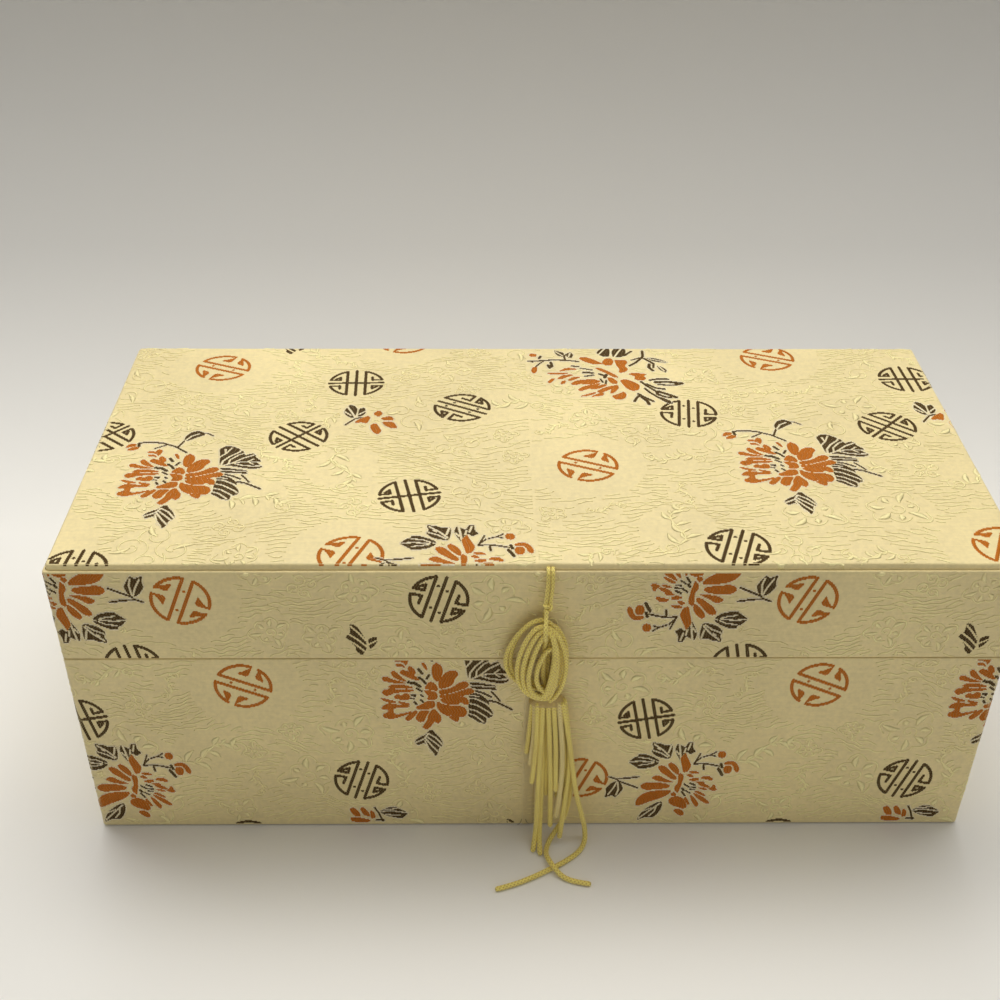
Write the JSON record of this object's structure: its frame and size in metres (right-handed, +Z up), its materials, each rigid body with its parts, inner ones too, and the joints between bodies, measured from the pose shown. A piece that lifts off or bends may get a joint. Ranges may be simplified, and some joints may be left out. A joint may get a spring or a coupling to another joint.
{
  "type": "brocade keepsake box",
  "caption": "Rectangular keepsake box of card covered in gold brocade, with a cloth-hinged lid, a lined inside and a knotted cord tassel on the lid's front edge.",
  "frame": {"origin": "middle of the underside, on the surface the box stands on", "axes": "+X along the front to the right, +Y from the front to the back, +Z up"},
  "size_m": [0.35, 0.194, 0.1344],
  "materials": {
    "card": "matt grey-brown card",
    "brocade": "woven silk-like damask with soft sheen",
    "lining_satin": "smooth satin",
    "padded_satin": "satin over thin wadding",
    "underside_paper": "matt paper",
    "tassel_cord": "braided cord with silky sheen",
    "binding_thread": "fine wound thread"
  },
  "bodies": {
    "base": {"base_bottom_board": "card", "base_front_board": "card", "base_back_board": "card", "base_left_board": "card", "base_right_board": "card", "base_brocade_wrap": "brocade", "base_underside_sheet": "underside_paper", "base_lining_front": "lining_satin", "base_lining_back": "lining_satin", "base_lining_left": "lining_satin", "base_lining_right": "lining_satin", "base_floor_pad": "padded_satin", "hinge_brocade_base_leaf": "brocade", "hinge_satin_base_leaf": "lining_satin"},
    "lid": {"lid_top_board": "card", "lid_front_board": "card", "lid_back_board": "card", "lid_left_board": "card", "lid_right_board": "card", "lid_brocade_wrap": "brocade", "lid_top_panel": "brocade", "lid_lining_front": "lining_satin", "lid_lining_back": "lining_satin", "lid_lining_left": "lining_satin", "lid_lining_right": "lining_satin", "lid_ceiling_pad": "padded_satin", "hinge_brocade_lid_leaf": "brocade", "hinge_satin_lid_leaf": "lining_satin", "tassel_tail_cords": "tassel_cord"},
    "hanger": {"hanger_cords": "tassel_cord", "hanger_knot": "tassel_cord"},
    "tassel": {"hank_loop": "tassel_cord", "hank": "tassel_cord", "neck_binding": "binding_thread", "fringe_strands": "tassel_cord", "pair_strand_left": "tassel_cord", "pair_strand_right": "tassel_cord", "long_strand_left": "tassel_cord", "long_strand_right": "tassel_cord"}
  },
  "joints": [
    {"name": "lid_hinge", "type": "hinge", "parent": "base", "child": "lid", "pos_m": [0, 0.08, 0.09115], "axis": [-1, 0, 0], "range_deg": [0, 110]},
    {"name": "tassel_swing", "type": "hinge", "parent": "lid", "child": "hanger", "pos_m": [0.0042, -0.0811, 0.1328], "axis": [-1, 0, 0], "range_deg": [0, 200]},
    {"name": "tassel_sway", "type": "hinge", "parent": "hanger", "child": "tassel", "pos_m": [0.0024, -0.08425, 0.11629], "axis": [0, 1, 0], "range_deg": [-50, 50]}
  ]
}
